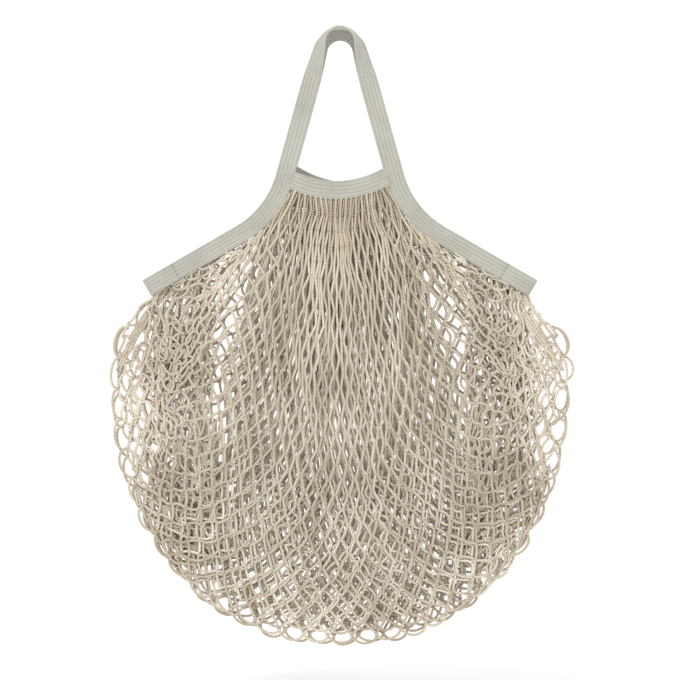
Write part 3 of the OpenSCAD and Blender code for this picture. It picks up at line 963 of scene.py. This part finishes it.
def edge_loop(a, b, outward, y, build, local):
    """The loop of yarn that hangs between two edge knots."""
    span = np.linalg.norm(b - a)
    depth = min(math.sqrt(max(LOOP_YARN ** 2 - span ** 2, 1e-6)) * 0.6, LOOP_MOST) * local.uniform(0.62, 1.0)
    along = unit(b - a)
    t = np.linspace(0, 1, 19)[:, None]
    shift = local.uniform(-0.16, 0.16) * span
    c1 = a + outward * depth * 1.36 + along * (shift + 0.02 * span)
    c2 = b + outward * depth * 1.36 + along * (shift - 0.02 * span)
    path = bezier(t, a, c1, c2, b)
    path[:, 1] += (y * 0.0011 * np.sin(math.pi * t))[:, 0]
    build.tube(path, YARN_R, YARN_SIDES, local.rand())


def declare_net(piece, side=None):
    """Bakes a piece of net that goes with a mouth, and attaches any other to the bag's body."""
    if side:
        mouth_blend(piece, side)
    else:
        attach(piece, "bag_body")


def outer_slack(q, t):
    loose = smooth((abs(q) - NECK_COLUMNS) / 2.0)
    flared = 0.35 * smooth((t - 0.65) / 0.2)
    return np.maximum(loose, flared) * smooth(t / 0.08)


def outer_depth(net, y):
    x, z = net.p[:, 0], net.p[:, 2]
    depth = np.maximum(surface_depth(x, z) - 0.0012 - LAYER_GAP * net.layers - net.ripple, 0.0013)
    depth = lerp(depth, plane_y(z), smooth((3 - net.row) / 3))
    seam = abs(net.q) > COLUMNS
    depth = np.where(seam, 0.0, depth)
    return y * np.where((net.row == net.rows) & ~seam, 0.0010, depth)


def make_outer_net(side):
    y = -MIRROR[side]
    seed = SEED + (0 if side == "front" else 100)
    drift = 0.0 if side == "front" else 0.25

    def route(q):
        path, layer = column_route(q + drift * (1 - float(smooth((abs(q) - 13) / 2))))
        return tilted(path, side), layer

    net = Net(seed, COLUMNS, LAST_ROW, route, lambda n: outer_depth(n, y), outer_slack, flare=0.3)
    local = np.random.RandomState(seed + 7)
    builds = {"left": Build(), "centre": Build(), "right": Build()}

    def part(q):
        return builds["left" if q < -5.1 else "right" if q > 5.1 else "centre"]

    net.weave(part, local, COLUMNS + 0.1)
    for q in range(-COLUMNS, COLUMNS + 1):
        a, b = net.last_pair(q)
        outward = on_edge(np.float64(q))[1]
        edge_loop(a, b, np.array([outward[0], 0, outward[1]]), y, part(q), local)
    replaced = {"left": [], "centre": [f"net_{side}_panel", f"net_{side}_yoke"], "right": []}
    if side == "front":
        replaced["left"] = ["net_left_fold"]
        replaced["right"] = ["net_right_fold"]
    else:
        replaced["centre"].append("net_bottom_fold")
    for name, build in builds.items():
        piece = build.finish(f"net_{side}_{name}", YARN)
        declare_net(piece, side)
        if replaced[name]:
            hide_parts(*replaced[name])


INNER_LAYERS = {"front": ("front", 0.13, -0.55), "middle": ("rear", 0.38, 0.0), "rear": ("rear", -0.25, 0.55)}


def make_inner_net(name):
    """Spare net of the gathered middle, folded up inside the bag between its two outer layers."""
    side, offset, share = INNER_LAYERS[name]
    seed = SEED + {"front": 200, "middle": 250, "rear": 300}[name]
    y = 1.0 if share >= 0 else -1.0

    def route(q):
        path = tilted(fan_route((q + offset) * (1.0 if name == "middle" else 0.97), inner_top(q)), side)
        keep = lengths(path) < INNER_LENGTH - (0.012 if name == "middle" else 0.0)
        return path[keep], np.zeros(np.sum(keep))

    def depth(net):
        x, z = net.p[:, 0], net.p[:, 2]
        inner = surface_depth(x, z) * abs(share) * 0.85 - net.ripple + (0.0010 if name == "middle" else 0)
        return y * lerp(inner, plane_y(z) * abs(share) + 0.0006, smooth((4 - net.row) / 4))

    net = Net(seed, INNER_COLUMNS, INNER_ROWS, route, depth,
              lambda q, t: 0.6 * smooth((t - 0.75) / 0.25), stray=2.6)
    local = np.random.RandomState(seed + 7)
    build = Build()
    net.weave(lambda q: build, local)
    for q in range(-INNER_COLUMNS, INNER_COLUMNS + 1):
        a, b = net.last_pair(q)
        edge_loop(a, b, np.array([0, 0, -1.0]), -y, build, local)
    declare_net(build.finish(f"net_inner_{name}", YARN), side)


def make_bottom_net(side):
    """Spare net folded up inside the bottom of the bag, behind one of its outer layers."""
    y = -MIRROR[side]
    seed = SEED + (500 if side == "front" else 550)

    def route(q):
        path = fan_route(q + BOTTOM_OFFSET[side])
        s = lengths(path)
        keep = (s > s[-1] - BOTTOM_LENGTH - BOTTOM_INSET) & (s < s[-1] - BOTTOM_INSET)
        return path[keep], np.zeros(np.sum(keep))

    def depth(net):
        return y * (surface_depth(net.p[:, 0], net.p[:, 2]) * BOTTOM_SHARE - 0.5 * net.ripple)

    net = Net(seed, BOTTOM_COLUMNS, BOTTOM_ROWS, route, depth, lambda q, t: 0.35 + 0 * q, stray=1.6)
    # Painted light: the net folded up in the bottom is painted at least this much paler, to lift the shade
    # inside it
    net.shade = np.maximum(net.shade, 0.75)
    build = Build()
    net.weave(lambda q: build, np.random.RandomState(seed + 7))
    declare_net(build.finish(f"net_bottom_{side}", YARN))


def make_gusset(hand, layer):
    """Spare net of one side, folded in between the front and the rear below the side tip."""
    side = HAND[hand]
    seed = SEED + 400 + 10 * layer + (0 if hand == "left" else 5)
    middle = through(GUSSET_PATH, GUSSET_PLACES)
    t = np.linspace(0, 1, len(middle))
    normal = unit(np.stack([-np.gradient(middle[:, 1]), np.gradient(middle[:, 0])], -1))
    half_width = np.interp(t, [0, 0.15, 0.75, 1], [0.024, 0.028, 0.027, 0.024])
    if layer == 1:
        wide = smooth(t / 0.3) * (1 - smooth((t - 0.5) / 0.3))
        middle = middle + normal * (GUSSET_REACH * wide)[:, None]
        half_width = half_width * (1 + 0.3 * wide)

    def route(q):
        share = (q + 0.3 * (layer - 1)) / (GUSSET_COLUMNS + 0.5)
        path = middle + normal * (share * half_width)[:, None]
        path[:, 1] -= (path[:, 0] - middle[:, 0]) / math.tan(SHOULDER_SLOPE) * (1 - t) ** 2
        return path * [side, 1], np.zeros(len(path))

    def depth(net):
        x, z = net.p[:, 0], net.p[:, 2]
        room = np.maximum(surface_depth(x, z) * 0.45, 0.001)
        return room * (layer - 1) + (net.ripple - 0.001) * np.sign(layer - 1 + 0.1)

    net = Net(seed, GUSSET_COLUMNS, GUSSET_ROWS, route, depth, lambda q, t: 0.75 + 0 * q)
    build = Build()
    net.weave(lambda q: build, np.random.RandomState(seed + 7))
    if layer == 1:
        make_wing(side, build, seed + 3)
    declare_net(build.finish(f"net_{hand}_gusset_{layer + 1}", YARN))


def make_wing(side, build, seed):
    """Net at the side fold, stretched from the tape's tip to the first knots of the edge."""
    def route(q):
        share = (q + WING_COLUMNS + 0.5) / (2 * WING_COLUMNS + 1)
        top = shoulder_point(lerp(TIP_S - 0.020, TIP_S - 0.001, share), -TAPE_W / 2)[0]
        bottom = on_edge(np.float64(lerp(COLUMNS - 1.2, COLUMNS + 0.5, share)))[0]
        path = lerp(top[[0, 2]], bottom, np.linspace(0, 1, 30)[:, None])
        return path * [side, 1], np.zeros(len(path))

    net = Net(seed, WING_COLUMNS, WING_ROWS, route, lambda n: n.ripple - 0.001,
              lambda q, t: 0.35 * smooth((WING_COLUMNS + 0.4 - q) * 2) * smooth(t * 5) * smooth((1 - t) * 5))
    # Painted light: the wing's yarn is painted only a little paler
    net.shade *= 0.3
    net.weave(lambda q: build, np.random.RandomState(seed + 1))


# ---- Camera, floor and light ----

PICTURE_WIDTH = 0.5644  # width of the photographed field at the bag
CAMERA_AWAY = 3.0
CAMERA_Z = -0.2482
FLOOR_Z = -0.545  # below the bag, which hangs clear of it
FLOOR_HALF = 6.0
WORLD_STRENGTH = 1.06
LIGHT_TARGET = (0, 0, -0.3)
LIGHTS = {"key": ((-0.9, -1.6, 1.1), 0.7, 16), "fill": ((1.4, -1.5, 0.2), 1.2, 5)}  # place, size, power


def make_camera():
    data = bpy.data.cameras.new("camera")
    data.sensor_width = 36
    data.lens = data.sensor_width * CAMERA_AWAY / PICTURE_WIDTH
    data.clip_end = 50
    camera = placed("camera", data)
    camera.location = (0, -CAMERA_AWAY, CAMERA_Z)
    camera.rotation_euler = (math.pi / 2, 0, 0)
    bpy.context.scene.camera = camera


def make_floor():
    mesh = bpy.data.meshes.new("floor")
    corners = [(x * FLOOR_HALF, y * FLOOR_HALF, FLOOR_Z) for x, y in ((-1, -1), (1, -1), (1, 1), (-1, 1))]
    mesh.from_pydata(corners, [], [(0, 1, 2, 3)])
    look = Look("floor_look")
    look.shader.inputs["Base Color"].default_value = (0.965, 0.965, 0.965, 1)
    look.shader.inputs["Roughness"].default_value = 0.9
    mesh.materials.append(look.material)
    floor = placed("floor", mesh)
    floor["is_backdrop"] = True


def area_light(name, place, size, power):
    data = bpy.data.lights.new(name, "AREA")
    data.shape = "DISK"
    data.size = size
    data.energy = power
    light = placed(name, data)
    light.location = place
    toward = np.array(LIGHT_TARGET) - np.array(place)
    light.rotation_euler = (math.acos(-toward[2] / np.linalg.norm(toward)), 0,
                            math.atan2(toward[1], toward[0]) - math.pi / 2)


def make_light():
    world = bpy.data.worlds.new("studio")
    bpy.context.scene.world = world
    world.use_nodes = True
    background = world.node_tree.nodes["Background"]
    background.inputs["Color"].default_value = (1.0, 1.0, 1.0, 1)
    background.inputs["Strength"].default_value = WORLD_STRENGTH
    for name, light in LIGHTS.items():
        area_light(name, *light)
    bpy.context.scene.view_settings.view_transform = "Standard"


make_camera()
make_floor()
make_light()
for side in MIRROR:
    make_handle(side)
    make_neck(side)
    for hand in HAND:
        make_shoulder(side, hand)
        make_bar_tack(side, hand)
    make_outer_net(side)
    make_bottom_net(side)
for name in INNER_LAYERS:
    make_inner_net(name)
for hand in HAND:
    make_tip(hand)
    for layer in range(3):
        make_gusset(hand, layer)

visual_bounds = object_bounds()
[[list(map(float, corner)) for corner in box] for box in (cad_bounds, visual_bounds)]
